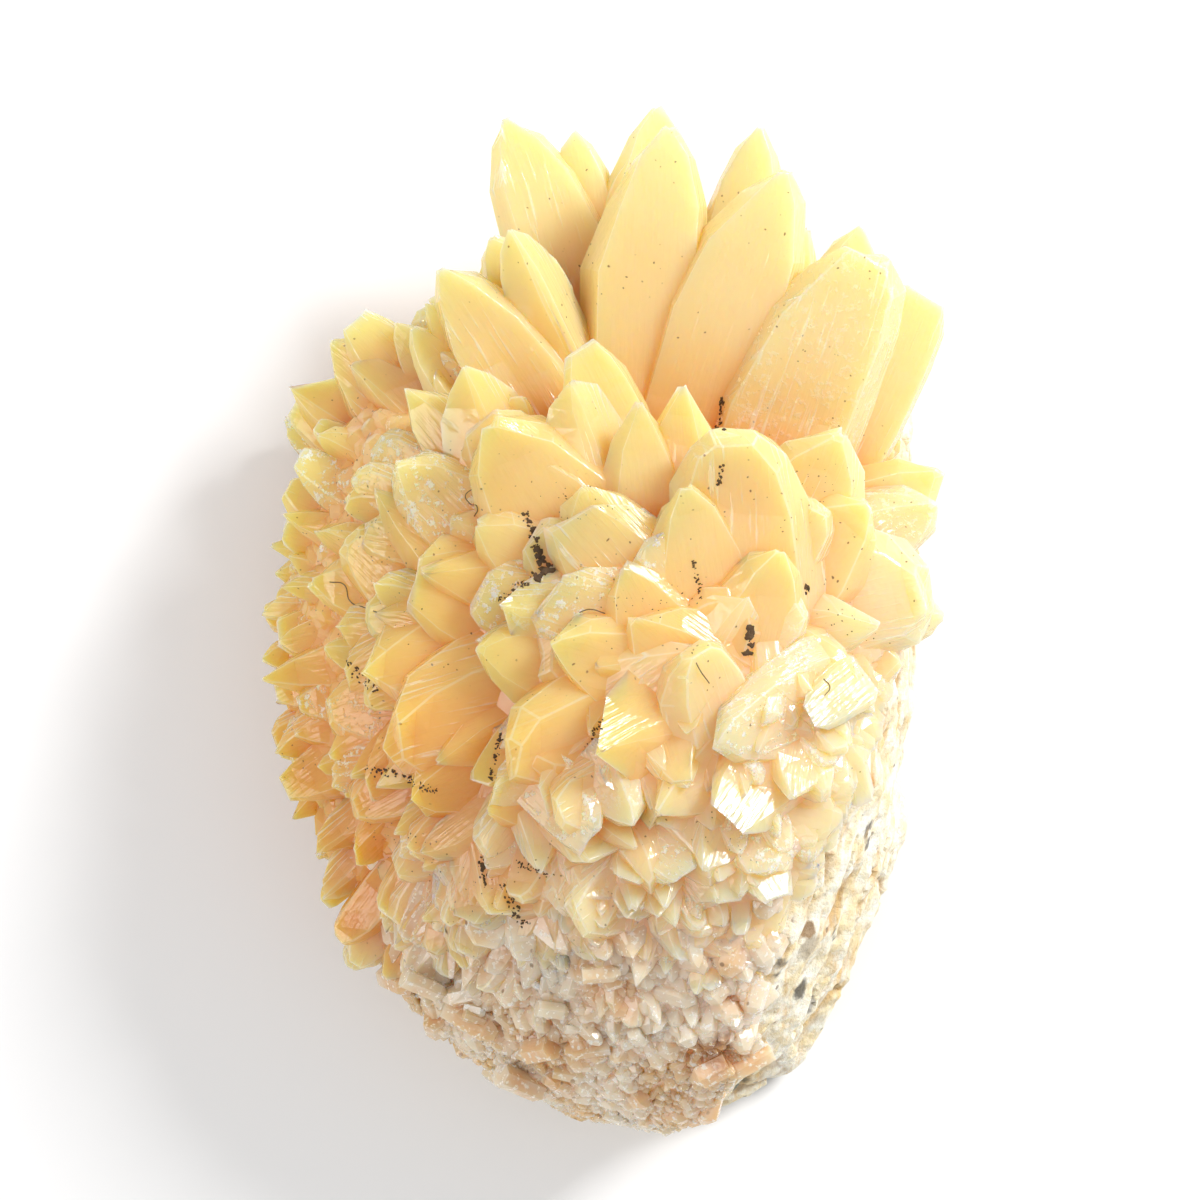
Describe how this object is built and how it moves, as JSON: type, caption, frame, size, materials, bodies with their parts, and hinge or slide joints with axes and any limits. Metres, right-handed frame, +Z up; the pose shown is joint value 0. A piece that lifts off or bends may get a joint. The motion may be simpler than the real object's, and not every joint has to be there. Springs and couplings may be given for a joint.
{
  "type": "calcite mineral specimen",
  "caption": "Hand specimen of honey-yellow calcite: a fan of dogtooth crystals grown over a piece of pale layered rock, lying on the rock's flat back.",
  "frame": {"origin": "on the surface it rests on, under the middle of its bounding box", "axes": "+Z up from the flat back of the rock, +Y along the long fan of crystals, +X to the side where the rock is broken open"},
  "size_m": [0.0435, 0.065, 0.0277],
  "materials": {
    "honey_calcite": "translucent honey-yellow crystal, waxy faces with frosted edges",
    "pale_rock": "cream-white layered rock, broken and matt"
  },
  "bodies": {
    "root": {"calcite_crystals": "honey_calcite", "rock_matrix": "pale_rock"}
  },
  "joints": []
}
